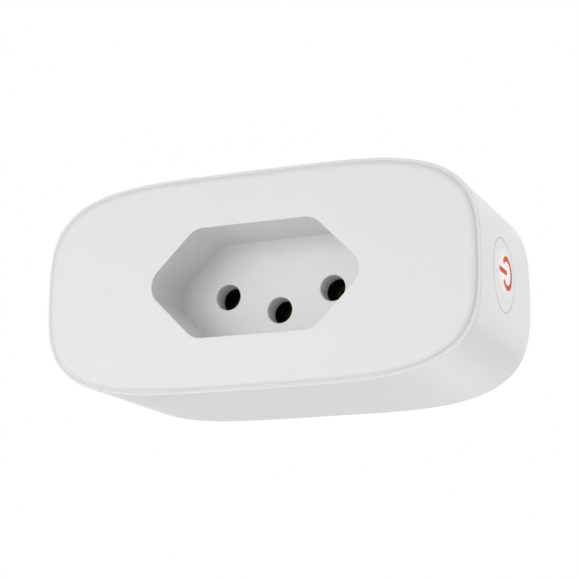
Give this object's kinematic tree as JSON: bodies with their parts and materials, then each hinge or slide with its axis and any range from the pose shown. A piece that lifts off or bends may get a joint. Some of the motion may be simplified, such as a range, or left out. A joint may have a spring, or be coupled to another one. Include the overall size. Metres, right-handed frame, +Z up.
{
  "type": "smart plug",
  "caption": "Rounded earthed smart plug: recessed hexagonal socket in front, plug boss with round pins behind, lit power button on one end.",
  "frame": {"origin": "centre of the plug's engagement face, the flat end of the hexagonal boss", "axes": "+Y along the pins, out of the boss into the wall outlet; the socket faces -Y; +X along the width towards the power button; +Z up"},
  "size_m": [0.0764, 0.0607, 0.0366],
  "materials": {
    "white_shell": "satin moulded polycarbonate",
    "nickel_plate": "nickel-plated brass, drawn",
    "contact_silver": "silver alloy rivet",
    "brass": "stamped",
    "steel": "zinc-plated",
    "black_plastic": "fine moulded texture",
    "ivory_plastic": "glass-filled nylon",
    "board_mask": "green solder mask",
    "copper_wire": "enamelled copper wire, wound",
    "ferrite": "sintered",
    "aluminium": "drawn",
    "blue_coating": "dipped epoxy",
    "orange_film": "moulded",
    "lit_amber": "translucent, lit from behind",
    "led_white": "clear lens"
  },
  "bodies": {
    "housing": {"bridge_rectifier": "black_plastic", "button_board": "board_mask", "choke_core": "ferrite", "choke_winding": "copper_wire", "contact_holder": "black_plastic", "converter_chip": "black_plastic", "earth_contact": "brass", "earth_pin": "nickel_plate", "earth_strap": "brass", "flyback_diode": "black_plastic", "front_cover": "white_shell", "fusible_resistor": "ivory_plastic", "housing_screw_1": "steel", "housing_screw_2": "steel", "housing_screw_3": "steel", "housing_screw_4": "steel", "indicator_led": "led_white", "line_contact": "brass", "line_pin": "nickel_plate", "line_strap": "brass", "main_board": "board_mask", "mains_capacitor": "aluminium", "neutral_contact": "brass", "neutral_pin": "nickel_plate", "neutral_strap": "brass", "output_capacitor": "black_plastic", "pin_retainer": "ivory_plastic", "radio_board": "board_mask", "radio_chip": "black_plastic", "radio_shield": "aluminium", "rear_housing": "white_shell", "relay_base": "black_plastic", "relay_bobbin": "ivory_plastic", "relay_coil": "copper_wire", "relay_coil_pin_1": "brass", "relay_coil_pin_2": "brass", "relay_common_pin": "brass", "relay_core": "steel", "relay_cover": "black_plastic", "relay_driver": "black_plastic", "relay_fixed_contact": "contact_silver", "relay_fixed_terminal": "brass", "relay_yoke": "steel", "retainer_screw_1": "steel", "retainer_screw_2": "steel", "suppressor_capacitor": "orange_film", "switch_body": "black_plastic", "varistor": "blue_coating", "voltage_regulator": "black_plastic"},
    "button": {"button_cap": "white_shell", "light_guide": "lit_amber"},
    "switch_plunger": {"switch_stem": "ivory_plastic"},
    "armature": {"relay_armature": "steel", "relay_moving_blade": "brass", "relay_moving_contact": "contact_silver"}
  },
  "joints": [
    {"name": "power_button", "type": "slide", "parent": "housing", "child": "button", "axis": [-1, 0, 0], "range_m": [0, 0.0004], "stiffness_N_per_m": 2500},
    {"name": "switch_plunge", "type": "slide", "parent": "housing", "child": "switch_plunger", "axis": [-1, 0, 0], "range_m": [0, 0.0004]},
    {"name": "relay_hinge", "type": "hinge", "parent": "housing", "child": "armature", "pos_m": [-0.02877, -0.0282, -0.0077], "axis": [-1, 0, 0], "range_deg": [0, 4], "stiffness_Nm_per_rad": 0.03}
  ],
  "couplings": [
    {"joint": "switch_plunge", "follows": "power_button", "ratio": 1}
  ]
}
